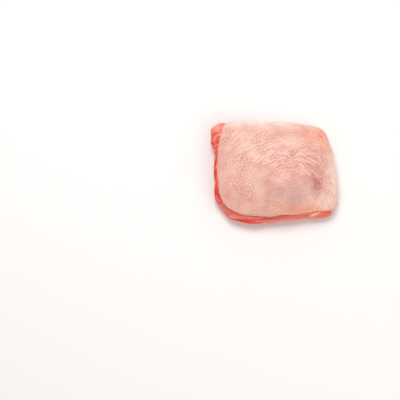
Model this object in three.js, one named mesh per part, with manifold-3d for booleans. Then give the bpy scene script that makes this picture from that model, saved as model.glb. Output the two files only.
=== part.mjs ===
// Raw chicken thigh with its skin on, lying skin side up.
//
// One smooth cushion-shaped surface drives the whole cut. The skin is a sheet of even
// thickness laid over it, wrapped down round the back and the right end. The meat fills
// it from inside and bulges past the skin along the front and the left end, where the
// knife went through. A small lens of fat sits in the cut.
//
// Millimetres, +Z up. +X is to the right along the cut's length, +Y is towards its back.
import * as THREE from 'three';
import Module from 'manifold-3d';

// Driving dimensions
const TOP = 31.5;           // height of the plain cushion, before the mounds of muscle
const GIRTH_HEIGHT = 11;    // height at which the cushion is widest
const FOOT_SHARE = 0.55;    // share of the outline that is flat on the table
const SKIN_THICKNESS = 1.7;
const CLEARANCE = 0.3;      // free space between two pieces that touch
const BULGE_PLACE = 1.1;    // where the cut meat stands out furthest, as a place on the side
const CUT_STEP = 0.02;      // how far past the skin's edge the meat starts to stand out
const CUT_RISE = 0.2;       // the least length of side over which it does so
const CUT_FILL = 0.3;       // length of side over which it comes out flush with the skin
const TOP_ROUNDNESS = 0.82; // under 1 flattens the top and fills its corners

// Fineness of the grid: cells from the middle of the top to the edge of its cap, and rings
const CAP_CELLS = 12;
const SKIRT_RINGS = 10;
const CUT_RINGS = 10;
const CAP_PLACE = 0.52;     // how far down the side the cap reaches
const FAT_SIDES = 20;
const OUTLINE_SAMPLES = 720;
const GROOVE_SAMPLES = 40;

// The widest section, seen from above, counter-clockwise from the right end
const OUTLINE = [
  [56.3, -18], [55.8, -4], [54.4, 9.5], [52.4, 18], [50, 26.6], [47.4, 33.8], [42.4, 39.6],
  [36.2, 41.8], [27, 43.2], [14, 45.1], [1.6, 45.9], [-22, 46.3], [-43, 43.5], [-50.5, 32],
  [-52, 0], [-48.5, -28], [-38, -40], [-8, -44], [24, -41.5], [41, -39.8], [48.6, -38.3],
  [52.4, -36], [54.4, -32],
];

// Soft mounds and hollows of the top: [x, y, reach along x, reach along y, rise]
const MOUNDS = [
  [-20, 8, 24, 20, 3.4],    // the thick muscle over the bone
  [14, -20, 20, 15, 3.2],   // the smaller muscle beside it
  [24, 20, 14, 12, 1.6],    // the end of the thick muscle
  [-8, -14, 9, 12, -1.4],   // slack between the two muscles
  [2, 32, 16, 7, -1.4],     // slack between the muscle and the back edge
  [50, -22, 13, 18, -9.0],  // loose flap past the end of the muscle
  [44, 32, 16, 14, -4.0],   // thin back corner
  [-44, -32, 14, 12, -3.5], // thin front corner
];

// The groove that the skin sinks into round the end of the smaller muscle, as [x, y, depth]
// along its path, and half its width
const GROOVE = [
  [14, 11, 0], [20, 8, 0.9], [27, 3, 1.5], [34, -4, 1.9], [38.5, -11, 2.0], [38, -18, 1.6],
  [34.5, -23, 0.9], [32, -28, 0],
];
const GROOVE_WIDTH = 3.6;

// What changes round the outline: [degrees from +X, value]. Places on the side run from
// 0 at the middle of the top, over 1 at the widest section, to 2 at the edge of the foot.
const SKIN_EDGE = [
  [0, 1.42], [60, 1.46], [108, 1.44], [124, 1.3], [134, 1.0], [146, 0.8], [163, 0.84],
  [183, 0.9], [205, 0.85], [222, 0.79], [250, 0.8], [262, 0.828], [268, 0.832], [273, 0.757],
  [280, 0.741], [287, 0.769], [294, 0.811], [301, 0.794], [308, 0.78], [312, 0.768],
  [317, 0.762], [322, 0.79], [327, 0.95], [335, 1.28],
];
const EDGE_WAVES = [[5, 2.0, 0.014], [9, 1.0, 0.011], [17, 0.0, 0.008]]; // [count, start, size]
const BULGE = [
  [0, 0], [126, 0], [134, 6.4], [138, 8.2], [142, 9.6], [146, 10.6], [150, 8.9], [157, 6.2],
  [174, 3.0], [200, 4.2], [225, 4.8], [255, 4.8], [263, 4.4], [271, 3.3], [292, 2.9],
  [308, 3.3], [315, 4.4], [320, 4.0], [330, 0],
];
const GIRTH = [[0, 0.85], [45, 0.9], [90, 1.05], [180, 1.1], [270, 1.0], [322, 0.7]];

// Seams between the bundles of muscle in the cut: [degrees from +X, half width, depth]
const SEAMS = [
  [164, 6, 2.6], [191, 5, 1.6], [219, 7, 2.0], [236, 4, 0.9], [259, 6, 1.5], [301, 4, 1.2],
];

// The lens of fat in the cut
const FAT_ANGLE = 309.3;
const FAT_SIZE = [7.2, 1.6, 2.3];   // half its length, height and depth
const FAT_POINT = 0.35;             // 0 gives round ends, more gives pointed ones
const FAT_TILT = 24;                // degrees that its right end is turned up
const FAT_PLACE = 0.15;             // how far below the skin's edge its middle lies
const FAT_SINK = 1.2;               // how far its middle lies inside the cut face

const CENTRE = new THREE.Vector2(0, 0);
const QUARTER = Math.PI / 2;
const FOOT_PLACE = 1.95;    // from here on the cushion faces straight down
const LIP_STEP = 0.006;     // how far down the side the skin's rounded edge reaches past its faces
const SMALL_TURN = 0.01;    // radians either way that give the direction along the cut

// A smooth value round the outline, through its keys
function around(keys) {
  return (angle) => {
    const degrees = THREE.MathUtils.euclideanModulo(THREE.MathUtils.radToDeg(angle), 360);
    let next = keys.findIndex(([at]) => at > degrees);
    if (next < 0) next = 0;
    const [from, before] = keys[(next + keys.length - 1) % keys.length];
    const [to, after] = keys[next];
    const span = THREE.MathUtils.euclideanModulo(to - from, 360);
    const share = THREE.MathUtils.euclideanModulo(degrees - from, 360) / span;
    return THREE.MathUtils.lerp(before, after, THREE.MathUtils.smoothstep(share, 0, 1));
  };
}

const skinEdgeKeys = around(SKIN_EDGE);
const bulge = around(BULGE);
const girth = around(GIRTH);

// Where the skin ends, with the small unevenness of a knife cut
function skinEdge(angle) {
  return EDGE_WAVES.reduce((sum, [count, start, size]) => (
    sum + size * Math.sin(count * angle + start)
  ), skinEdgeKeys(angle));
}

// Distance from the centre to the outline at any angle
function outlineRadius() {
  const points = OUTLINE.map(([x, y]) => new THREE.Vector3(x, y, 0));
  const curve = new THREE.CatmullRomCurve3(points, true, 'centripetal');
  const samples = curve.getPoints(OUTLINE_SAMPLES).map((p) => ({
    angle: Math.atan2(p.y - CENTRE.y, p.x - CENTRE.x),
    radius: Math.hypot(p.x - CENTRE.x, p.y - CENTRE.y),
  })).sort((a, b) => a.angle - b.angle);
  const first = samples[0];
  samples.push({ angle: first.angle + 2 * Math.PI, radius: first.radius });
  return (angle) => {
    const turn = THREE.MathUtils.euclideanModulo(angle - first.angle, 2 * Math.PI) + first.angle;
    const next = Math.max(1, samples.findIndex((s) => s.angle >= turn));
    const [a, b] = [samples[next - 1], samples[next]];
    const share = (turn - a.angle) / Math.max(b.angle - a.angle, 1e-9);
    return THREE.MathUtils.lerp(a.radius, b.radius, share);
  };
}

const radius = outlineRadius();

// Points close together along the groove, with its depth as their z
const grooveLine = new THREE.CatmullRomCurve3(
  GROOVE.map(([x, y, depth]) => new THREE.Vector3(x, y, depth)),
).getPoints(GROOVE_SAMPLES);

function groove(x, y) {
  return Math.max(...grooveLine.map((point) => (
    point.z * Math.exp(-((Math.hypot(point.x - x, point.y - y) / GROOVE_WIDTH) ** 2))
  )));
}

// Height of the muscles under the skin above the plain cushion
function mounds(x, y) {
  return MOUNDS.reduce((sum, [mx, my, rx, ry, rise]) => (
    sum + rise * Math.exp(-(((x - mx) / rx) ** 2) - ((y - my) / ry) ** 2)
  ), -groove(x, y));
}

// The cushion: a point of its surface at an angle round it and a place down its side
function cushion(angle, place) {
  const reach = radius(angle);
  const widest = GIRTH_HEIGHT * girth(angle);
  const onto = (share) => [
    CENTRE.x + reach * share * Math.cos(angle),
    CENTRE.y + reach * share * Math.sin(angle),
  ];
  if (place <= 1) {
    const [x, y] = onto(Math.sin(place * QUARTER) ** TOP_ROUNDNESS);
    const top = TOP + mounds(x, y);
    return new THREE.Vector3(x, y, widest + (top - widest) * Math.cos(place * QUARTER));
  }
  if (place <= 2) {
    const turn = (place - 1) * QUARTER;
    const [x, y] = onto(FOOT_SHARE + (1 - FOOT_SHARE) * Math.cos(turn));
    return new THREE.Vector3(x, y, widest * (1 - Math.sin(turn)));
  }
  const [x, y] = onto(FOOT_SHARE * (3 - place));
  return new THREE.Vector3(x, y, 0);
}

// The direction square to the cushion, out of it
function outward(angle, place) {
  if (place > FOOT_PLACE) return new THREE.Vector3(0, 0, -1);
  const step = 0.004;
  const start = Math.max(place, 2 * step);
  const along = cushion(angle + step, start).sub(cushion(angle - step, start));
  const down = cushion(angle, start + step).sub(cushion(angle, start - step));
  return down.cross(along).normalize();
}

// The cushion moved inward by a depth, square to its surface
function under(angle, place, depth) {
  return cushion(angle, place).addScaledVector(outward(angle, place), -depth);
}

// How deep the seams between the bundles of muscle are at an angle
function seams(angle) {
  const degrees = THREE.MathUtils.euclideanModulo(THREE.MathUtils.radToDeg(angle), 360);
  return SEAMS.reduce((sum, [at, width, depth]) => (
    sum + depth * Math.exp(-(((degrees - at) / width) ** 2))
  ), 0);
}

// The meat: close under the skin, then out past its edge where the knife went through
function meatSurface(angle, place) {
  const edge = skinEdge(angle) + CUT_STEP;
  const crown = Math.max(BULGE_PLACE, edge + CUT_RISE);
  const flush = Math.min(edge + CUT_FILL, FOOT_PLACE);
  const covered = 1 - THREE.MathUtils.smoothstep(place, edge, flush);
  const depth = (SKIN_THICKNESS + CLEARANCE) * covered;
  const rise = THREE.MathUtils.smoothstep(place, edge, crown);
  const fall = 1 - THREE.MathUtils.smoothstep(place, crown, 2);
  const out = (bulge(angle) - seams(angle)) * rise * fall;
  const point = under(angle, place, depth);
  point.x += out * Math.cos(angle);
  point.y += out * Math.sin(angle);
  return point;
}

// A square grid bent into a disc: rings of 8, 16, 24 ... corners with no crowded middle
function discGrid(cells) {
  const corners = [];
  for (let row = -cells; row <= cells; row += 1) {
    for (let column = -cells; column <= cells; column += 1) {
      const ring = Math.max(Math.abs(row), Math.abs(column));
      let eighths = 0;
      if (ring > 0 && column === ring) eighths = row / ring;
      else if (ring > 0 && row === ring) eighths = 2 - column / ring;
      else if (ring > 0 && column === -ring) eighths = 4 - row / ring;
      else if (ring > 0) eighths = 6 + column / ring;
      corners.push({ share: ring / cells, angle: eighths * Math.PI / 4 });
    }
  }
  return corners;
}

// The disc's rim, counter-clockwise from the angle of -45 degrees
function rimOf(cells) {
  const side = 2 * cells + 1;
  const rim = [];
  for (let i = 0; i < 2 * cells; i += 1) rim.push(i * side + 2 * cells);
  for (let i = 0; i < 2 * cells; i += 1) rim.push(2 * cells * side + 2 * cells - i);
  for (let i = 0; i < 2 * cells; i += 1) rim.push((2 * cells - i) * side);
  for (let i = 0; i < 2 * cells; i += 1) rim.push(i);
  return rim;
}

// A closed surface sewn from a disc, rings that go on from its rim, and a last disc
class Surface {
  constructor() {
    this.points = [];
    this.triangles = [];
  }

  quad(a, b, c, d) {
    this.triangles.push(a, b, c, a, c, d);
  }

  disc(place, flip) {
    const start = this.points.length;
    discGrid(CAP_CELLS).forEach(({ share, angle }) => this.points.push(place(angle, share)));
    const side = 2 * CAP_CELLS + 1;
    for (let row = 0; row < side - 1; row += 1) {
      for (let column = 0; column < side - 1; column += 1) {
        const corner = start + row * side + column;
        const opposite = corner + side + 1;
        if (flip) this.quad(corner, corner + side, opposite, corner + 1);
        else this.quad(corner, corner + 1, opposite, corner + side);
      }
    }
    return rimOf(CAP_CELLS).map((index) => start + index);
  }

  // A further ring of points. Going back up inside, it is sewn so that its triangles lie
  // exactly under those of the outer face.
  ring(before, place, inside = false) {
    const angles = before.map((_, i) => (i / before.length) * 2 * Math.PI - Math.PI / 4);
    const start = this.points.length;
    angles.forEach((angle) => this.points.push(place(angle)));
    const after = angles.map((_, i) => start + i);
    this.sew(before, after, inside);
    return after;
  }

  sew(before, after, inside = false) {
    before.forEach((_, i) => {
      const j = (i + 1) % before.length;
      if (inside) this.quad(after[i], after[j], before[j], before[i]);
      else this.quad(before[i], after[i], after[j], before[j]);
    });
  }

  geometry() {
    const positions = this.points.flatMap((p) => [p.x, p.y, p.z]);
    const geometry = new THREE.BufferGeometry();
    geometry.setAttribute('position', new THREE.Float32BufferAttribute(positions, 3));
    geometry.setIndex(this.triangles);
    return geometry;
  }
}

// Skin: its outer face, the rounded cut edge, and its inner face back to the middle
function skinGeometry() {
  const surface = new Surface();
  const skirt = (share) => (angle) => THREE.MathUtils.lerp(CAP_PLACE, skinEdge(angle), share);
  const outer = (place) => (angle) => under(angle, place(angle), 0);
  const inner = (place) => (angle) => under(angle, place(angle), SKIN_THICKNESS);
  let rim = surface.disc((angle, share) => under(angle, share * CAP_PLACE, 0), false);
  for (let i = 1; i <= SKIRT_RINGS; i += 1) {
    rim = surface.ring(rim, outer(skirt(i / SKIRT_RINGS)));
  }
  const lip = (angle) => skinEdge(angle) + LIP_STEP;
  rim = surface.ring(rim, (angle) => under(angle, lip(angle), SKIN_THICKNESS / 2));
  for (let i = SKIRT_RINGS; i >= 1; i -= 1) {
    rim = surface.ring(rim, inner(skirt(i / SKIRT_RINGS)), true);
  }
  const last = surface.disc((angle, share) => under(angle, share * CAP_PLACE, SKIN_THICKNESS), true);
  surface.sew(rim, last, true);
  return surface.geometry();
}

function meatGeometry() {
  const surface = new Surface();
  const edge = (angle) => skinEdge(angle) + CUT_STEP;
  const ringAt = (from, to, share) => (angle) => (
    meatSurface(angle, THREE.MathUtils.lerp(from(angle), to(angle), share))
  );
  const cap = () => CAP_PLACE;
  const foot = () => 2;
  let rim = surface.disc((angle, share) => meatSurface(angle, share * CAP_PLACE), false);
  for (let i = 1; i <= SKIRT_RINGS; i += 1) {
    rim = surface.ring(rim, ringAt(cap, edge, i / SKIRT_RINGS));
  }
  for (let i = 1; i < CUT_RINGS; i += 1) {
    rim = surface.ring(rim, ringAt(edge, foot, i / CUT_RINGS));
  }
  const last = surface.disc((angle, share) => cushion(angle, 3 - share), true);
  surface.sew(rim, last);
  return surface.geometry();
}

// A flattened lens of fat whose long side follows the cut, grown by a margin
function fatGeometry(margin) {
  const angle = THREE.MathUtils.degToRad(FAT_ANGLE);
  const place = skinEdge(angle) + FAT_PLACE;
  const out = outward(angle, place);
  const [before, after] = [angle - SMALL_TURN, angle + SMALL_TURN];
  const along = cushion(after, place).sub(cushion(before, place)).normalize();
  along.applyAxisAngle(out, THREE.MathUtils.degToRad(FAT_TILT));
  const up = new THREE.Vector3().crossVectors(out, along).normalize();
  const [length, height, depth] = FAT_SIZE.map((size) => size + margin);
  const geometry = new THREE.SphereGeometry(1, FAT_SIDES, FAT_SIDES / 2);
  geometry.deleteAttribute('normal');
  geometry.deleteAttribute('uv');
  geometry.rotateZ(QUARTER);
  const position = geometry.getAttribute('position');
  for (let i = 0; i < position.count; i += 1) {
    const point = new THREE.Vector3().fromBufferAttribute(position, i);
    const taper = Math.max(1 - point.x ** 2, 0) ** FAT_POINT;
    position.setXYZ(i, point.x, point.y * taper, point.z * taper);
  }
  geometry.applyMatrix4(new THREE.Matrix4().makeBasis(
    along.multiplyScalar(length), up.multiplyScalar(height), out.multiplyScalar(depth),
  ));
  const middle = meatSurface(angle, place).addScaledVector(outward(angle, place), -FAT_SINK);
  return geometry.translate(middle.x, middle.y, middle.z);
}

// Boolean work on closed meshes
const wasm = await Module();
wasm.setup();

function toSolid(geometry) {
  const keyed = new Map();
  const points = [];
  const position = geometry.getAttribute('position');
  const index = Array.from(geometry.getIndex().array, (corner) => {
    const at = [position.getX(corner), position.getY(corner), position.getZ(corner)];
    const key = at.map((value) => value.toFixed(4)).join(' ');
    if (!keyed.has(key)) {
      keyed.set(key, points.length / 3);
      points.push(...at);
    }
    return keyed.get(key);
  });
  const triangles = [];
  for (let i = 0; i < index.length; i += 3) {
    const [a, b, c] = index.slice(i, i + 3);
    if (a !== b && b !== c && c !== a) triangles.push(a, b, c);
  }
  return new wasm.Manifold(new wasm.Mesh({
    numProp: 3,
    vertProperties: new Float32Array(points),
    triVerts: new Uint32Array(triangles),
  }));
}

function toGeometry(solid) {
  const { vertProperties, triVerts } = solid.getMesh();
  const geometry = new THREE.BufferGeometry();
  geometry.setAttribute('position', new THREE.Float32BufferAttribute(vertProperties, 3));
  geometry.setIndex(Array.from(triVerts));
  return geometry;
}

// Three pieces, each with the finish of fresh raw chicken
function piece(name, geometry, color, roughness) {
  geometry.computeVertexNormals();
  const material = new THREE.MeshStandardMaterial({ color, roughness, metalness: 0 });
  const mesh = new THREE.Mesh(geometry, material);
  mesh.name = name;
  return mesh;
}

const meat = toSolid(meatGeometry()).subtract(toSolid(fatGeometry(CLEARANCE)));

const thigh = new THREE.Group();
thigh.add(
  piece('skin', toGeometry(toSolid(skinGeometry())), 0xefc0ae, 0.42),
  piece('meat', toGeometry(meat), 0xd9655a, 0.35),
  piece('fat', toGeometry(toSolid(fatGeometry(0))), 0xf6c79c, 0.4),
);

// The origin is under the middle of the whole cut, on the table
const box = new THREE.Box3().setFromObject(thigh);
const middle = box.getCenter(new THREE.Vector3());
thigh.position.set(-middle.x, -middle.y, -box.min.z);
thigh.updateMatrixWorld(true);

export default thigh;
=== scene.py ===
# Raw chicken thigh with its skin on, lying skin side up on a pale surface.
# Sizes here are in millimetres, which MM turns to metres where they meet Blender. Places are
# (x, y) as seen from above, and a reach is how far from its middle something fades out.
import bmesh
import bpy
import math
import numpy as np
from mathutils import Euler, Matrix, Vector
from mathutils.bvhtree import BVHTree
from mathutils.kdtree import KDTree


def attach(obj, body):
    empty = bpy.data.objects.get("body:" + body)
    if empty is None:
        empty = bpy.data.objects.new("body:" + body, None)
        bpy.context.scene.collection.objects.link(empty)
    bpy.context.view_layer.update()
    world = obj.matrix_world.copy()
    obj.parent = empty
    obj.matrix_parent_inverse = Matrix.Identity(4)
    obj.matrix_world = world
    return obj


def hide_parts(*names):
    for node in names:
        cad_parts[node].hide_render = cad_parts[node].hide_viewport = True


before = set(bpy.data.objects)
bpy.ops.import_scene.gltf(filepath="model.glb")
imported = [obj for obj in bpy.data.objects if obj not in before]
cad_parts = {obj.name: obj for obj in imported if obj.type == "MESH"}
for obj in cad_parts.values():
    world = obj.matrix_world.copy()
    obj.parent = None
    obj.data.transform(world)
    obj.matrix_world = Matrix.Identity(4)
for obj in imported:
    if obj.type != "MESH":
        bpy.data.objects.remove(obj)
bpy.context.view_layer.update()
MM = 0.001   # metres in a millimetre

# Skin
# The bird's skin with its thin layer of fat, a soft sheet 1.7 mm thick. It is still grown to
# the muscle, so it lies over the whole top, tucks under at the back and the right end, and
# stops at the knife's cut along the front and the left end.
WELD_GAP = 0.002                 # corners of a solid nearer than this are one corner
FLAT_ANGLE = math.radians(40)    # two triangles that meet at less than this become one facet
ROUNDING_LEVELS = 2              # how often each facet is split in four and rounded
SKIN_CELL = 0.43                 # between the points of its mesh
SKIN_SOFTENING = 6               # rounds of smoothing
INSIDE_KEPT = 0.56               # share of all triangles kept, by thinning the hidden inner face
OUTER_FROM, OUTER_TO = 0.8, 1.4  # distance from the meat, inner face to outer face
FOLLICLE_GAP = 2.5               # plucked feathers stood this far apart
FOLLICLE_LENGTH = 1.2            # of a bump along the creases, from its middle
FOLLICLE_WIDTH = 0.62
FOLLICLE_HEIGHT = 0.32
FOLLICLE_USUAL = 0.7             # share of that height that most of them have
FOLLICLE_VARIES = 0.7            # and how much more or less of it
FOLLICLE_PATCH = 8               # width of the patches where they stand out more or less
FOLLICLE_COARSER = 0.4           # what the coarse area adds to the share
FOLLICLE_RANGE = (0.08, 1.3)     # its least and most
PARTING_WIDTH = 0.5              # of the fine lines between the follicles
PARTING_DEPTH = 0.1
WRINKLE_GAP = 1.7                # between the creases of the slack skin
WRINKLE_DEPTH = 0.24
BROAD_REACH, NARROW_REACH = 5, 3   # how far the broad and the narrow creases run
BROAD_ROUND, NARROW_ROUND = 0.03, 0.05   # how round their bottoms are
NARROW_SHARE = 0.4               # height of the narrow ones, where the broad ones have 1
RIDGE_MIDDLE = 1.1               # height taken off, so that creases go down and ridges up
RIDGE_RANGE = (-1.2, 1.0)        # their lowest and highest
CREASE_PAINTED_SHADE, RIDGE_PAINTED_HIGHLIGHT = (0.2, -0.9), (-0.1, 0.9)   # heights where the painted shade in the creases and the painted highlight on the ridges start and are full
SLACK_LEAST = 0.16               # how wrinkled the skin is where it isn't slack
SLACK_PATCH, SLACK_VARIES = 7, 0.4   # width of patches where it is more or less so, and how much
SLACK_RANGE = (0.1, 1.3)         # least and most
LUMPS = [(0.4, 13), (0.25, 6)]   # height and width of the soft lumps of fat under it
HEM_CLEAR = 1.2                  # no follicle is nearer than this to the cut edge
HEM_FADE = 2.5                   # all relief fades towards the edge over this distance
HEM_SWELL, HEM_LUMP = 0.35, 2.6  # how unevenly thick the edge is, and over what length
HEM_REACH = 1.5                  # of that unevenness, inwards
HEM_STAIN = 1.6                  # reach of the edge's own colour
TIGHT = ((12, -22), (23, 13))    # middle and reach of where it is stretched over the muscle
TIGHT_FOLLICLES, TIGHT_WRINKLES = 0.2, 0.25   # shares of its follicles and creases left there
COARSE = ((5, 12), (26, 12))     # and of where the follicles stand out most

# Which way the creases run: middle, reach, and degrees from the x direction
FLOW = [
    ((-28.9, 22), (26, 24), 38),
    ((15.1, 30), (20, 13), 32),
    ((7, 9), (18, 8), 14),
    ((33, 3), (11, 8), -38),
    ((52, 10), (7, 20), -66),
    ((50, -9), (7, 6), -28),
    ((41, -18), (7, 4), 4),
    ((45, -31), (10, 8), 84),
    ((11.1, -24), (20, 12), -8),
    ((-37, -24), (18, 20), 55),
]
# Where the skin is slack, and so more wrinkled: middle, reach, strength
SLACK = [
    ((9.1, 8), (26, 12), 0.7),
    ((33, 1), (11, 9), 0.8),
    ((50, -9), (8, 8), 0.45),
    ((45, -29), (10, 9), 1.0),
    ((-18.9, 28), (36, 18), 0.5),
]


def points_of(mesh):
    """A mesh's points, in millimetres, one to a row."""
    values = np.empty(len(mesh.vertices) * 3)
    mesh.vertices.foreach_get("co", values)
    return values.reshape(-1, 3) / MM


def normals_of(mesh):
    values = np.empty(len(mesh.vertices) * 3)
    mesh.vertices.foreach_get("normal", values)
    return values.reshape(-1, 3)


def set_points(mesh, points):
    mesh.vertices.foreach_set("co", (points * MM).ravel())
    mesh.update()


def apply_modifiers(piece):
    graph = bpy.context.evaluated_depsgraph_get()
    coarse = piece.data
    piece.data = bpy.data.meshes.new_from_object(piece.evaluated_get(graph))
    piece.modifiers.clear()
    bpy.data.meshes.remove(coarse)


def fine_copy(node, name, cell, softening):
    """A new piece with the form of a CAD node, its facets rounded, in even cells."""
    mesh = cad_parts[node].data.copy()
    work = bmesh.new()
    work.from_mesh(mesh)
    bmesh.ops.remove_doubles(work, verts=work.verts, dist=WELD_GAP * MM)
    bmesh.ops.join_triangles(
        work, faces=work.faces,
        angle_face_threshold=FLAT_ANGLE, angle_shape_threshold=FLAT_ANGLE,
    )
    work.to_mesh(mesh)
    work.free()
    piece = bpy.data.objects.new(name, mesh)
    bpy.context.scene.collection.objects.link(piece)
    rounded = piece.modifiers.new("rounded", "SUBSURF")
    rounded.levels = rounded.render_levels = ROUNDING_LEVELS
    cells = piece.modifiers.new("cells", "REMESH")
    cells.mode = "VOXEL"
    cells.voxel_size = cell * MM
    cells.use_smooth_shade = True
    soft = piece.modifiers.new("soft", "SMOOTH")
    soft.iterations = softening
    apply_modifiers(piece)
    return piece


def step(low, high, values):
    """0 below low, 1 above high, smooth between."""
    share = np.clip((values - low) / (high - low), 0, 1)
    return share * share * (3 - 2 * share)


def bell(points, middle, reach):
    """1 at the middle, fading to nothing past the reach."""
    away = (points[:, :2] - np.array(middle)) / np.array(reach)
    return np.exp(-(away**2).sum(axis=1))


# The noise is turned off every straight side of the thigh, each seed moves it elsewhere, and
# the primes scramble the numbers of a cell.
NOISE_TURN = np.array(Euler((0.5, 0.3, 0.7)).to_matrix())
SEED_STEP = 31.7
PRIMES = (73856093, 19349663, 83492791)
STIRS = [(13, 1274126177), (16, 668265263)]
LARGEST = 0x7FFFFFFF


def noise(points, size, seed):
    """Smooth random values from -1 to 1, with lumps of a size. Each use has its own seed."""
    place = points / np.array(size) @ NOISE_TURN + SEED_STEP * seed
    cell = np.floor(place).astype(np.int64)
    ease = place - cell
    ease = ease * ease * (3 - 2 * ease)
    total = np.zeros(len(points))
    for corner in np.ndindex(2, 2, 2):
        mixed = np.bitwise_xor.reduce((cell + corner) * PRIMES, axis=1)
        for shift, prime in STIRS:
            mixed = (mixed ^ (mixed >> shift)) * prime & LARGEST
        share = np.where(corner, ease, 1 - ease).prod(axis=1)
        total += (mixed / (LARGEST // 2) - 1) * share
    return total


def near(points, targets, count):
    """The targets nearest to each point: their numbers and their distances."""
    tree = KDTree(len(targets))
    for index, target in enumerate(targets):
        tree.insert(target, index)
    tree.balance()
    found = np.array([[hit[1:] for hit in tree.find_n(p, count)] for p in points])
    return found[:, :, 0].astype(int), found[:, :, 1]


def scatter(points, gap, seed):
    """Some of the points, picked at random, with none nearer than gap to another."""
    taken = {}
    picked = []
    for point in np.random.default_rng(seed).permutation(points):
        home = tuple(np.floor(point / gap).astype(int))
        around = (
            other
            for move in np.ndindex(3, 3, 3)
            for other in taken.get(tuple(h + m - 1 for h, m in zip(home, move)), ())
        )
        if all(((point - other) ** 2).sum() > gap * gap for other in around):
            taken.setdefault(home, []).append(point)
            picked.append(point)
    return np.array(picked)


def store(mesh, name, values):
    """Keeps one number a point, for the material to read."""
    made = mesh.attributes.new(name, "FLOAT", "POINT")
    made.data.foreach_set("value", values.astype(np.float32))


def distances(points, node):
    """How far each point lies from the surface of a CAD node."""
    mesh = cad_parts[node].data
    corners = [vertex.co for vertex in mesh.vertices]
    tree = BVHTree.FromPolygons(corners, [face.vertices[:] for face in mesh.polygons])
    return np.array([tree.find_nearest(Vector(p * MM))[3] for p in points]) / MM


skin = fine_copy("skin", "thigh_skin", SKIN_CELL, SKIN_SOFTENING)
hidden = skin.vertex_groups.new(name="hidden")
for index, depth in enumerate(distances(points_of(skin.data), "meat")):
    if depth < OUTER_FROM:
        hidden.add([index], 1, "REPLACE")
thinner = skin.modifiers.new("thinner", "DECIMATE")
thinner.ratio = INSIDE_KEPT
thinner.vertex_group = "hidden"
apply_modifiers(skin)
points = points_of(skin.data)
normals = normals_of(skin.data)
from_meat = distances(points, "meat")
outer = step(OUTER_FROM, OUTER_TO, from_meat)
rim = points[(from_meat > OUTER_FROM) & (from_meat < OUTER_TO)]
from_hem = near(points, rim[::3], 1)[1][:, 0]    # every third point of the rim is enough
WHOLLY_OUTER = 0.99              # share past which a point is on the outer face
FAINT, TINY = 1e-3, 1e-6         # a direction's least weight, and the least length to divide by


def heading(points, normals):
    """Unit directions of the creases at points on the skin. A crease has no front or back
    end, so the angles are doubled before they are averaged, and halved after."""
    turned = np.zeros((len(points), 2))
    for middle, reach, degrees in FLOW:
        twice = 2 * math.radians(degrees)
        weight = bell(points, middle, reach) + FAINT
        turned += weight[:, None] * np.array((math.cos(twice), math.sin(twice)))
    angle = np.arctan2(turned[:, 1], turned[:, 0]) / 2
    way = np.stack([np.cos(angle), np.sin(angle), np.zeros(len(points))], axis=1)
    way -= (way * normals).sum(axis=1)[:, None] * normals
    return way / np.maximum(np.linalg.norm(way, axis=1), TINY)[:, None]


# Follicles: low bumps drawn out along the creases, and the fine lines that part them. A bump
# may sit on every fourth point of the outer face.
tight = bell(points, *TIGHT)
wanted = (outer > WHOLLY_OUTER) & (from_hem > HEM_CLEAR)
follicles = scatter(points[wanted][::4], FOLLICLE_GAP, 7)
which, away = near(points, follicles, 2)
offset = points - follicles[which[:, 0]]
along = (offset * heading(points, normals)).sum(axis=1)
across = np.sqrt(np.maximum(away[:, 0] ** 2 - along**2, 0))
strength = FOLLICLE_USUAL + FOLLICLE_VARIES * noise(points, FOLLICLE_PATCH, 1)
strength += FOLLICLE_COARSER * bell(points, *COARSE)
strength = np.clip(strength * (1 - (1 - TIGHT_FOLLICLES) * tight), *FOLLICLE_RANGE)
follicle = np.exp(-((along / FOLLICLE_LENGTH) ** 2) - (across / FOLLICLE_WIDTH) ** 2)
parting = np.exp(-(((away[:, 1] - away[:, 0]) / PARTING_WIDTH) ** 2))
lift = strength * (FOLLICLE_HEIGHT * follicle - PARTING_DEPTH * parting)


def brushed(points, normals, size, reach, seed):
    """Noise drawn out along the creases, to about the reach in both directions."""
    stride = size / 2
    total = np.zeros(len(points))
    for sign in (-1, 1):
        place = points.copy()
        for _ in range(round(reach / stride)):
            total += noise(place, size, seed)
            place += sign * stride * heading(place, normals)
    return total / total.std()


# Creases where the skin is slack, and fainter ones everywhere. They lie where the brushed noise
# passes zero.
slack = np.full(len(points), SLACK_LEAST)
for middle, reach, amount in SLACK:
    slack += amount * bell(points, middle, reach)
patches = 1 + SLACK_VARIES * noise(points, SLACK_PATCH, 5)
slack *= (1 - (1 - TIGHT_WRINKLES) * tight) * patches
slack = np.clip(slack, *SLACK_RANGE)
broad = brushed(points, normals, WRINKLE_GAP, BROAD_REACH, 4)
narrow = brushed(points, normals, WRINKLE_GAP / 2, NARROW_REACH, 6)
ridge = np.sqrt(broad**2 + BROAD_ROUND) + NARROW_SHARE * np.sqrt(narrow**2 + NARROW_ROUND)
ridge -= RIDGE_MIDDLE
lift += WRINKLE_DEPTH * slack * np.clip(ridge, *RIDGE_RANGE)

# Soft lumps of the fat under it, and an uneven thickness along the cut edge
for seed, (height, width) in enumerate(LUMPS, 2):
    lift += height * noise(points, width, seed)
lift = lift * outer * step(0, HEM_FADE, from_hem)
lift += HEM_SWELL * noise(points, HEM_LUMP, 8) * np.exp(-((from_hem / HEM_REACH) ** 2))
points = points + normals * lift[:, None]
set_points(skin.data, points)
store(skin.data, "outer", outer)
# the follicles' paler colour, partly their own and partly a painted highlight on the bumps
store(skin.data, "follicle", strength * follicle)
# Painted shade in the creases and a painted highlight on the ridges, standing in for the light on
# the relief
store(skin.data, "crease", slack * step(*CREASE_PAINTED_SHADE, ridge))
store(skin.data, "ridge", slack * step(*RIDGE_PAINTED_HIGHLIGHT, ridge))
store(skin.data, "hem", np.exp(-from_hem / HEM_STAIN))
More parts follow.
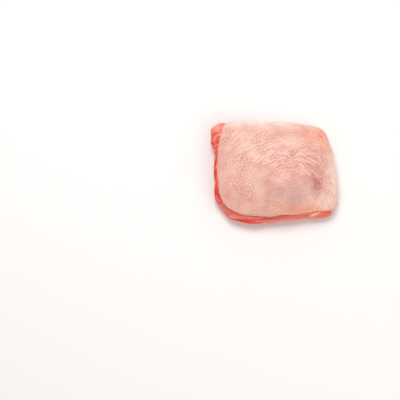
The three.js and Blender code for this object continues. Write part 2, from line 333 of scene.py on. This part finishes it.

# Soft patches of colour in the skin, some its own stains and some painted light, shade and
# reflection: middle, reach, colour, strength
STAINS = [
    # painted shade: a broad darker patch over the middle of the top
    ("painted_shade_middle", (13.1, 5), (30, 17), "CF8A7F", 0.3),
    # painted light: a paler patch on the top towards the back
    ("painted_light_top", (13.1, 22), (11, 6), "FBD0C2", 0.45),
    ("bruise", (37.5, -14), (5.2, 9.5), "A82F22", 0.7),
    ("peach", (39, 32), (18, 14), "F39D7C", 0.5),
    ("ember", (41.8, 32.5), (3.2, 7), "F4714E", 0.45),
    # painted shade: a darker band where the skin curves down on the right
    ("painted_shade_right", (42, 4), (6, 12), "C98470", 0.45),
    # painted highlight: a pale band down the right edge
    ("painted_highlight_right", (55.5, -3), (6.5, 22), "FFDBC6", 0.85),
    ("lilac", (14.1, -20), (21, 13), "C99C97", 0.52),
    ("violet", (18.6, -29), (6, 5), "B98A96", 0.25),
    ("amber", (25.1, -37), (30, 5), "FFA27E", 0.6),
    # painted light: a paler patch where the top turns down to the cut edge
    ("painted_light_front", (43, -36), (13, 5), "FFC0A2", 0.6),
    # painted reflection: a whitish haze along the back edge
    ("painted_reflection_back", (-8.9, 46), (46, 7), "FFECE8", 0.85),
    ("pleats", (49, -29), (8, 5.5), "FFDDCB", 0.7),
]
STAIN_LUMP, STAIN_SHIFT = 5, 2.5   # size of the lumps in a stain's edge, and how far they go
edge = np.stack([noise(points, STAIN_LUMP, seed) for seed in (21, 22)], axis=1)
shifted = points[:, :2] + STAIN_SHIFT * edge
for name, middle, reach, _, _ in STAINS:
    store(skin.data, name, bell(shifted, middle, reach))


def linear(code):
    """A colour from its sRGB hex code, for a shader."""
    parts = [int(code[i : i + 2], 16) / 255 for i in (0, 2, 4)]
    return (*(c / 12.92 if c <= 0.04045 else ((c + 0.055) / 1.055) ** 2.4 for c in parts), 1)


MIX_SHARE, MIX_FROM, MIX_TO, MIX_OUT = 0, 6, 7, 2   # sockets of a colour Mix node


def add(tree, kind, inputs, **settings):
    """One node with its settings, and its inputs as numbers, colours or links."""
    node = tree.nodes.new(kind)
    for name, value in settings.items():
        setattr(node, name, value)
    for name, value in inputs.items():
        if isinstance(value, bpy.types.NodeSocket):
            tree.links.new(value, node.inputs[name])
        else:
            node.inputs[name].default_value = value
    return node


def new_material(name):
    made = bpy.data.materials.new(name)
    made.use_nodes = True
    made.node_tree.nodes.clear()
    return made, made.node_tree


# Raw poultry skin: translucent and moist, pale pink from the meat beneath. The eye gets soft
# broad highlights, paler bumps at the follicles, partly a painted highlight, and light that
# glows a little through it.
THIN_SKIN, THICK_SKIN = "E3A195", "F4C2AE"
BLOOD = "CE8580"
UNDER_SKIN = "F9C9A4"
CLOUD_SIZE = 11      # patches where the fat under the skin is thicker or thinner
FLECK_SIZE = 2.4     # spots where blood shows through
PORE_GAP = 0.9       # cells of the skin's surface, drawn three times as coarse as real ones
SKIN_GRAIN = 0.5     # its roughest unevenness, drawn as coarse as it needs to show
SKIN_RELIEF = 0.12   # depth of both
skin_material, tree = new_material("raw_chicken_skin")
place = add(tree, "ShaderNodeTexCoord", {}).outputs["Object"]
cloud = add(
    tree, "ShaderNodeTexNoise", {"Vector": place, "Scale": 1 / (CLOUD_SIZE * MM), "Detail": 4}
)
fleck = add(
    tree, "ShaderNodeTexNoise", {"Vector": place, "Scale": 1 / (FLECK_SIZE * MM), "Detail": 3}
)
cloud_share = add(
    tree, "ShaderNodeMapRange",
    {"Value": cloud.outputs["Fac"], "From Min": 0.35, "From Max": 0.65},
)
colour = add(
    tree, "ShaderNodeMix",
    {
        MIX_SHARE: cloud_share.outputs["Result"],
        MIX_FROM: linear(THIN_SKIN),
        MIX_TO: linear(THICK_SKIN),
    },
    data_type="RGBA",
).outputs[MIX_OUT]
fleck_share = add(
    tree, "ShaderNodeMapRange",
    {"Value": fleck.outputs["Fac"], "From Min": 0.45, "From Max": 0.8, "To Max": 0.3},
)
colour = add(
    tree, "ShaderNodeMix",
    {MIX_SHARE: fleck_share.outputs["Result"], MIX_FROM: colour, MIX_TO: linear(BLOOD)},
    data_type="RGBA",
).outputs[MIX_OUT]
for name, code, share in [(name, code, share) for name, _, _, code, share in STAINS] + [
    # partly the follicles' own paler tips, partly a painted highlight on them
    ("follicle", "FFE3D4", 0.6),
    # painted highlight on the ridges, painted shade in the creases
    ("ridge", "FFDFD2", 0.36),
    ("crease", "BC6C64", 0.33),
    ("hem", "FFA488", 0.8),
]:
    read = add(tree, "ShaderNodeAttribute", {}, attribute_name=name)
    amount = add(
        tree, "ShaderNodeMath",
        {0: read.outputs["Fac"], 1: share}, operation="MULTIPLY", use_clamp=True,
    )
    colour = add(
        tree, "ShaderNodeMix",
        {MIX_SHARE: amount.outputs[0], MIX_FROM: colour, MIX_TO: linear(code)},
        data_type="RGBA",
    ).outputs[MIX_OUT]
shown = add(tree, "ShaderNodeAttribute", {}, attribute_name="outer")
colour = add(
    tree, "ShaderNodeMix",
    {MIX_SHARE: shown.outputs["Fac"], MIX_FROM: linear(UNDER_SKIN), MIX_TO: colour},
    data_type="RGBA",
).outputs[MIX_OUT]
pores = add(
    tree, "ShaderNodeTexVoronoi", {"Vector": place, "Scale": 1 / (PORE_GAP * MM)},
    feature="DISTANCE_TO_EDGE",
)
grain = add(
    tree, "ShaderNodeTexNoise", {"Vector": place, "Scale": 1 / (SKIN_GRAIN * MM), "Detail": 2}
)
lines = add(
    tree, "ShaderNodeMapRange",
    {"Value": pores.outputs["Distance"], "From Max": 0.18, "To Max": 1},
)
height = add(
    tree, "ShaderNodeMath",
    {0: lines.outputs["Result"], 1: grain.outputs["Fac"]}, operation="ADD",
)
relief = add(
    tree, "ShaderNodeBump",
    {"Height": height.outputs[0], "Strength": 0.35, "Distance": SKIN_RELIEF * MM},
)
wet = add(
    tree, "ShaderNodeMapRange",
    {
        "Value": cloud.outputs["Fac"],
        "From Min": 0.3,
        "From Max": 0.7,
        "To Min": 0.34,
        "To Max": 0.5,
    },
)
surface = add(
    tree, "ShaderNodeBsdfPrincipled",
    {
        "Base Color": colour,
        "Roughness": wet.outputs["Result"],
        "IOR": 1.4,
        "Subsurface Weight": 0.35,
        "Subsurface Radius": (1.0, 0.45, 0.3),
        "Subsurface Scale": 2.5 * MM,
        "Coat Weight": 0.35,
        "Coat Roughness": 0.22,
        "Normal": relief.outputs["Normal"],
    },
)
add(tree, "ShaderNodeOutputMaterial", {"Surface": surface.outputs["BSDF"]})
skin.data.materials.clear()
skin.data.materials.append(skin_material)
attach(skin, "root")
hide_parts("skin")

# Meat
# The thigh's muscles over the bone, in bundles with seams between them. They fill the skin
# from below, and show red and wet where the knife cut along the front and the left end.
MEAT_CELL = 0.6
MEAT_SOFTENING = 4
BARE_FROM, BARE_TO = 0.5, 2.2   # distance from the skin, covered meat to bare meat
UNDER, SIDE = -0.97, -0.8       # z of a unit normal, on the flat underside and at the sides
UNDER_SHARE = 0.5        # of the relief, underneath
END_TURN = 30            # beyond this far from the middle the bundles turn round the ends
END_RADIUS = 22          # of that turn
SLANT = 0.15             # rise of the bundles from front to back, so the halves of an end differ
BEND, BEND_LENGTH = 3, 16       # how far up the bundles wander, and over what length
FIBRE, FIBRE_DEPTH = (11, 0.8, 0.8), 0.2      # lengths, widths and heights, and their relief
FIBRE_TINT = (0.1, 0.6)  # heights where the fibres' colour starts and is full
STRAND, STRAND_DEPTH = (20, 2.2, 2.2), 0.35
BUNDLE, BUNDLE_DEPTH = (34, 7, 5.5), 0.5
SEAM_WIDTH = 0.14        # of the places where noise passes zero, in its own units
SEAM_DEPTH = 0.9
CUT_X, CUT_Y = (-11, -1), (-30, -36)          # where the cut in front fades in
LIP_LINE = (6, 21, 41), (9.3, 8.2, 7.0)       # along x, and the height of the cut's widest line
LIP_WIDTH = 1.9          # of the pale line along it
LIP_STREAK = (9, 3, 2)
LIP_USUAL, LIP_VARIES = 0.95, 0.4             # its strength, and how much that varies in streaks
CUT_LIGHT_X, CUT_LIGHT_Z = (7, 25), (5.5, 9.5)            # where the painted light on the cut starts, and is full
CUT_LIGHT_STREAK = (10, 1.5, 1.5)
CUT_LIGHT_USUAL, CUT_LIGHT_VARIES, CUT_LIGHT_LEAST = 0.75, 0.6, 0.1
RED_END = ((47.5, -36), (4.5, 4))             # the cut's right end: middle, reach
RED_SHARE = 0.6          # how much less of the painted light the cut has there
CLEAN_Z, CLEAN_SHARE = (6, 9), 0.8            # where its membrane goes, and how much of it
LUMP = ((-51, 43), (8, 8))                    # the rounded lump at the back left
FAT_MARGIN_AND_LIGHT_REACH = 1.3        # how far the meat is paler round the fat, partly fatty tissue and partly painted light in the shaded gap
meat = fine_copy("meat", "thigh_meat", MEAT_CELL, MEAT_SOFTENING)
points = points_of(meat.data)
normals = normals_of(meat.data)
from_skin = distances(points, "skin")
bare = step(BARE_FROM, BARE_TO, from_skin)
side = step(UNDER, SIDE, normals[:, 2])

# Each point's place along, across and above the bundles
inside, past = np.minimum(np.abs(points[:, 0]), END_TURN), np.abs(points[:, 0]) - END_TURN
past = np.maximum(past, 0)
along = np.sign(points[:, 0]) * (inside + END_RADIUS * np.arctan2(past, np.abs(points[:, 1])))
slant = SLANT * points[:, 1]
across = np.hypot(past, points[:, 1]) + slant
above = points[:, 2] + slant
bend = BEND * noise(points, BEND_LENGTH, 30)
bundled = np.stack([along, across + bend / 2, above + bend], axis=1)
fibres = noise(bundled, FIBRE, 31)
strands = noise(bundled, STRAND, 32)
bundles = noise(bundled, BUNDLE, 33)
seam = np.exp(-((bundles / SEAM_WIDTH) ** 2))
lift = FIBRE_DEPTH * fibres + STRAND_DEPTH * strands
lift += BUNDLE_DEPTH * np.abs(bundles) - SEAM_DEPTH * seam
inwards = UNDER_SHARE * np.abs(lift)             # underneath, nothing stands out
lift = bare * (side * lift - (1 - side) * inwards)
points = points + normals * lift[:, None]
points[:, 2] = np.maximum(points[:, 2], 0)
set_points(meat.data, points)

# Colours of the cut in front: red under the skin and at its right end, paler and oranger along
# its face to the right as painted light, which leaves its left part darker as painted shade,
# with little membrane over it, and with a pale lip at its widest, partly a painted highlight
widest = np.exp(-(((points[:, 2] - np.interp(points[:, 0], *LIP_LINE)) / LIP_WIDTH) ** 2))
front = step(*CUT_X, points[:, 0]) * step(*CUT_Y, points[:, 1])
# Painted light on the cut's face: paler to the right and higher up, less at the red right end, and
# uneven in streaks
cut_painted_light = front * step(*CUT_LIGHT_X, points[:, 0]) * step(*CUT_LIGHT_Z, points[:, 2])
cut_painted_light *= 1 - RED_SHARE * bell(points, *RED_END)
cut_painted_light *= np.clip(CUT_LIGHT_USUAL + CUT_LIGHT_VARIES * noise(points, CUT_LIGHT_STREAK, 35), CUT_LIGHT_LEAST, 1)
for name, values in [("along", along), ("across", across), ("above", above)]:
    store(meat.data, name, values * MM)
store(meat.data, "strand", strands * 0.5 + 0.5)
store(meat.data, "veiled", 1 - CLEAN_SHARE * front * step(*CLEAN_Z, points[:, 2]))
store(meat.data, "cut_painted_light", cut_painted_light)
store(meat.data, "fibre", step(*FIBRE_TINT, fibres) * bare)
store(meat.data, "seam", seam * bare)
# The pale lip is partly membrane and partly a painted highlight along the cut's widest line
streaks = LIP_USUAL + LIP_VARIES * noise(points, LIP_STREAK, 34)
store(meat.data, "lip", widest * front * streaks)
store(meat.data, "lump", bell(points, *LUMP))
# Paler meat round the fat: partly fatty tissue, partly painted light in the shaded gap there
store(meat.data, "fat_margin_and_light", np.exp(-((distances(points, "fat") / FAT_MARGIN_AND_LIGHT_REACH) ** 2)))

# Raw dark poultry meat, cut: wet, translucent red, finely striped along its fibres, with a
# thin pale film of membrane here and there.
DARK_STRAND, LIGHT_STRAND = "CC2120", "F0473A"
STRIPE, MEMBRANE = "E96A59", "F5B4A4"
MEAT_GRAIN = 0.6     # width of a fibre, drawn coarser than real ones, which wouldn't show
FILM_WIDTH = 3       # of the patches of membrane
SHORTENED = 0.12     # width over length of both, as they are drawn out along the bundles
MEAT_RELIEF = 0.25   # depth of the fibres
meat_material, tree = new_material("raw_chicken_meat")
along, across, above = (
    add(tree, "ShaderNodeAttribute", {}, attribute_name=name).outputs["Fac"]
    for name in ("along", "across", "above")
)
place = add(tree, "ShaderNodeCombineXYZ", {"X": along, "Y": across, "Z": above})
stretched = add(
    tree, "ShaderNodeMapping", {"Vector": place.outputs["Vector"], "Scale": (SHORTENED, 1, 1)}
).outputs["Vector"]
grain = add(
    tree, "ShaderNodeTexNoise",
    {"Vector": stretched, "Scale": 1 / (MEAT_GRAIN * MM), "Detail": 3, "Distortion": 0.4},
)
film = add(
    tree, "ShaderNodeTexNoise",
    {"Vector": stretched, "Scale": 1 / (FILM_WIDTH * MM), "Detail": 5, "Distortion": 0.8},
)
strand = add(tree, "ShaderNodeAttribute", {}, attribute_name="strand")
colour = add(
    tree, "ShaderNodeMix",
    {MIX_SHARE: strand.outputs["Fac"], MIX_FROM: linear(DARK_STRAND), MIX_TO: linear(LIGHT_STRAND)},
    data_type="RGBA",
).outputs[MIX_OUT]
stripe = add(
    tree, "ShaderNodeMapRange",
    {"Value": grain.outputs["Fac"], "From Min": 0.5, "From Max": 0.75, "To Max": 0.45},
)
membrane = add(
    tree, "ShaderNodeMapRange",
    {"Value": film.outputs["Fac"], "From Min": 0.5, "From Max": 0.64, "To Max": 0.7},
)
veiled = add(tree, "ShaderNodeAttribute", {}, attribute_name="veiled")
membrane = add(
    tree, "ShaderNodeMath",
    {0: membrane.outputs["Result"], 1: veiled.outputs["Fac"]}, operation="MULTIPLY",
)
for share, code in [
    (stripe.outputs["Result"], STRIPE),
    (membrane.outputs[0], MEMBRANE),
]:
    colour = add(
        tree, "ShaderNodeMix",
        {MIX_SHARE: share, MIX_FROM: colour, MIX_TO: linear(code)},
        data_type="RGBA",
    ).outputs[MIX_OUT]
for name, code, share in [
    ("fibre", "EB7B6A", 0.3),
    # painted light on the cut's face
    ("cut_painted_light", "FF8A6C", 0.75),
    # partly membrane, partly a painted highlight
    ("lip", "FFA58C", 0.8),
    ("lump", "FBB394", 0.8),
    ("seam", "F0A38E", 0.35),
    # partly fatty tissue, partly painted light in the gap round the fat
    ("fat_margin_and_light", "F6A88C", 0.7),
]:
    read = add(tree, "ShaderNodeAttribute", {}, attribute_name=name)
    amount = add(
        tree, "ShaderNodeMath",
        {0: read.outputs["Fac"], 1: share}, operation="MULTIPLY", use_clamp=True,
    )
    colour = add(
        tree, "ShaderNodeMix",
        {MIX_SHARE: amount.outputs[0], MIX_FROM: colour, MIX_TO: linear(code)},
        data_type="RGBA",
    ).outputs[MIX_OUT]
relief = add(
    tree, "ShaderNodeBump",
    {"Height": grain.outputs["Fac"], "Strength": 0.5, "Distance": MEAT_RELIEF * MM},
)
surface = add(
    tree, "ShaderNodeBsdfPrincipled",
    {
        "Base Color": colour,
        "Roughness": 0.34,
        "IOR": 1.4,
        "Specular IOR Level": 0.3,
        "Subsurface Weight": 0.25,
        "Subsurface Radius": (1.0, 0.3, 0.2),
        "Subsurface Scale": 2 * MM,
        "Coat Weight": 0.2,
        "Coat Roughness": 0.16,
        "Normal": relief.outputs["Normal"],
    },
)
add(tree, "ShaderNodeOutputMaterial", {"Surface": surface.outputs["BSDF"]})
meat.data.materials.clear()
meat.data.materials.append(meat_material)
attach(meat, "root")
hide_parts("meat")

# Fat
# A soft lens of yellowish fat between two muscles, laid open by the cut. It is drawn larger
# than the CAD's, to close the gap round it, and pressed flat where it would stand out past
# the cut.
FAT_CELL = 0.3
FAT_SOFTENING = 3
FAT_STRETCH = (1.6, 1.1, 1.19)   # of its height, depth and length
FAT_GROWTH = 0.4                 # outwards all round
FAT_UNEVEN = 0.35                # more or less than that, in lumps of two sizes
FAT_LUMPS = [(4, 2, 2), (2, 1.2, 1.2)]
FAT_FACING = np.array((0.07, -0.68, 0.73))   # way out of the cut, where the fat lies
FAT_FACE = 37.2                  # how far that way the cut is from the frame's origin
FAT_PROUD = 0.2                  # share kept of what stands out further
FAT_STREAK = (5, 1.4, 1.4)       # length, width and height of the streaks in its colours
VEINED_X, VEINED_STREAK = (35, 29), 2      # where its left part turns red, and how raggedly
THIN_GAP, THIN_STREAK = (0.7, 0), 0.25     # the same where it comes close to the meat
fat = fine_copy("fat", "thigh_fat", FAT_CELL, FAT_SOFTENING)
points = points_of(fat.data)
lift = np.full(len(points), FAT_GROWTH)
for seed, size in enumerate(FAT_LUMPS, 41):
    lift += FAT_UNEVEN * noise(points, size, seed)
middle = points.mean(axis=0)
axes = np.linalg.eigh(np.cov((points - middle).T))[1]
points = middle + (points - middle) @ axes * FAT_STRETCH @ axes.T
points += normals_of(fat.data) * lift[:, None]
proud = np.maximum(points @ FAT_FACING - FAT_FACE, 0)
points -= (1 - FAT_PROUD) * proud[:, None] * FAT_FACING
set_points(fat.data, points)
streaks = noise(points, FAT_STREAK, 43)
gaps = distances(points, "meat")
store(fat.data, "veined", step(*VEINED_X, points[:, 0] + VEINED_STREAK * streaks))
store(fat.data, "thin", step(*THIN_GAP, gaps + THIN_STREAK * streaks))

# Raw poultry fat: waxy and translucent, cream to salmon, with a dull shine, and red where
# it thins out into the muscle.
SALMON, CREAM = "FFB896", "FFE2C4"
FAT_CLOUD = 2.5      # its lobes, a few millimetres wide
FAT_RELIEF = 0.2
fat_material, tree = new_material("raw_chicken_fat")
place = add(tree, "ShaderNodeTexCoord", {}).outputs["Object"]
cloud = add(
    tree, "ShaderNodeTexNoise", {"Vector": place, "Scale": 1 / (FAT_CLOUD * MM), "Detail": 3}
)
colour = add(
    tree, "ShaderNodeMix",
    {MIX_SHARE: cloud.outputs["Fac"], MIX_FROM: linear(SALMON), MIX_TO: linear(CREAM)},
    data_type="RGBA",
).outputs[MIX_OUT]
for name, code in [("veined", "F48F70"), ("thin", "F08468")]:
    read = add(tree, "ShaderNodeAttribute", {}, attribute_name=name)
    colour = add(
        tree, "ShaderNodeMix",
        {MIX_SHARE: read.outputs["Fac"], MIX_FROM: colour, MIX_TO: linear(code)},
        data_type="RGBA",
    ).outputs[MIX_OUT]
relief = add(
    tree, "ShaderNodeBump",
    {"Height": cloud.outputs["Fac"], "Strength": 0.3, "Distance": FAT_RELIEF * MM},
)
surface = add(
    tree, "ShaderNodeBsdfPrincipled",
    {
        "Base Color": colour,
        "Roughness": 0.4,
        "IOR": 1.45,
        "Subsurface Weight": 0.4,
        "Subsurface Radius": (1.0, 0.7, 0.4),
        "Subsurface Scale": 2 * MM,
        "Coat Weight": 0.2,
        "Coat Roughness": 0.15,
        "Normal": relief.outputs["Normal"],
    },
)
add(tree, "ShaderNodeOutputMaterial", {"Surface": surface.outputs["BSDF"]})
fat.data.materials.clear()
fat.data.materials.append(fat_material)
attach(fat, "root")
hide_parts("fat")

# Floor
# A plain sheet of pale matt card that the thigh lies on, so much larger than the view that
# its edges never show.
FLOOR_SIZE = 6.0     # metres
CARD = "F6F3F1"
floor_mesh = bpy.data.meshes.new("floor")
half = FLOOR_SIZE / 2
floor_mesh.from_pydata(
    [(-half, -half, 0), (half, -half, 0), (half, half, 0), (-half, half, 0)], [], [(0, 1, 2, 3)]
)
floor = bpy.data.objects.new("floor", floor_mesh)
bpy.context.scene.collection.objects.link(floor)
floor_material, tree = new_material("pale_matt_card")
surface = add(
    tree, "ShaderNodeBsdfPrincipled", {"Base Color": linear(CARD), "Roughness": 0.8}
)
add(tree, "ShaderNodeOutputMaterial", {"Surface": surface.outputs["BSDF"]})
floor_mesh.materials.append(floor_material)

# Light
# A wide soft box above and behind, a weaker one at the front right, and an even white room,
# as in a small studio for products.
ROOM_STRENGTH = 0.52
LAMPS = [
    # name, place and size in metres, and watts
    ("soft_box", (-0.2, 0.45, 1.0), 0.6, 7),
    ("fill", (0.65, -0.55, 0.7), 0.8, 2.8),
]
scene = bpy.context.scene
scene.view_settings.view_transform = "Standard"
room = bpy.data.worlds.new("room")
room.use_nodes = True
air = room.node_tree.nodes["Background"]
air.inputs["Color"].default_value = (1, 1, 1, 1)
air.inputs["Strength"].default_value = ROOM_STRENGTH
scene.world = room
for name, place, size, watts in LAMPS:
    lamp = bpy.data.lights.new(name, "AREA")
    lamp.shape = "DISK"
    lamp.size = size
    lamp.energy = watts
    light = bpy.data.objects.new(name, lamp)
    light.location = place
    light.rotation_euler = (-Vector(place)).to_track_quat("-Z", "Y").to_euler()
    scene.collection.objects.link(light)

# Camera
# High above and a little to the front, looking past the thigh's front left corner, as in the
# photograph, where the thigh lies to the upper right of the middle of the frame.
PIXEL = 0.89 * MM                  # width of a pixel of the photograph, at the thigh
THIGH_PIXEL = (273.8, 171.5)       # middle of the thigh in the photograph
FRAME_PIXELS = 400
CAMERA_HEIGHT_ANGLE = math.radians(80)
CAMERA_DISTANCE = 1.2              # metres
AIM_HEIGHT = 12 * MM
FARTHEST_SEEN = 10                 # metres
aim = Vector((
    (FRAME_PIXELS / 2 - THIGH_PIXEL[0]) * PIXEL,
    (THIGH_PIXEL[1] - FRAME_PIXELS / 2) * PIXEL / math.sin(CAMERA_HEIGHT_ANGLE),
    AIM_HEIGHT,
))
back = Vector((0, -math.cos(CAMERA_HEIGHT_ANGLE), math.sin(CAMERA_HEIGHT_ANGLE)))
view = bpy.data.cameras.new("camera")
view.lens = view.sensor_width / 2 * CAMERA_DISTANCE / (FRAME_PIXELS / 2 * PIXEL)
view.clip_end = FARTHEST_SEEN
camera = bpy.data.objects.new("camera", view)
camera.location = aim + back * CAMERA_DISTANCE
camera.rotation_euler = (-back).to_track_quat("-Z", "Y").to_euler()
scene.collection.objects.link(camera)
scene.camera = camera
